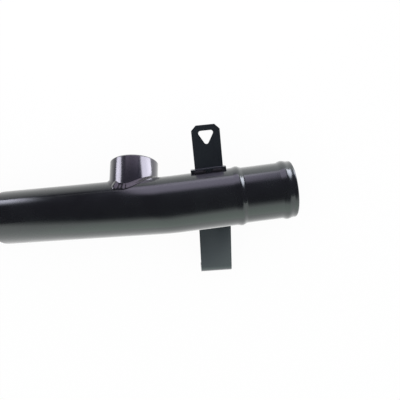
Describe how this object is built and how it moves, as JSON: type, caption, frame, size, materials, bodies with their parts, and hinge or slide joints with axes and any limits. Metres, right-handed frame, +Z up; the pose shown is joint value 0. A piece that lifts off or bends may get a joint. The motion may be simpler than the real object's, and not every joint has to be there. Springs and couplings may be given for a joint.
{
  "type": "coolant pipe",
  "caption": "Bent black steel coolant pipe with a beaded hose spigot, a reduced plain end, a welded sensor boss, a cable tab and a fixing bracket.",
  "frame": {"origin": "on the bench, under the middle of the pipe's outline", "axes": "+X along the pipe towards the hose spigot, +Y towards the cable tab and the boss, +Z up from the bench that the pipe lies on"},
  "size_m": [0.2076, 0.0894, 0.0434],
  "materials": {
    "black_paint": "gloss"
  },
  "bodies": {
    "root": {"pipe": "black_paint", "sensor_boss": "black_paint", "boss_weld": "black_paint", "cable_tab": "black_paint", "tab_weld": "black_paint", "fixing_bracket": "black_paint", "bracket_weld": "black_paint"}
  },
  "joints": []
}
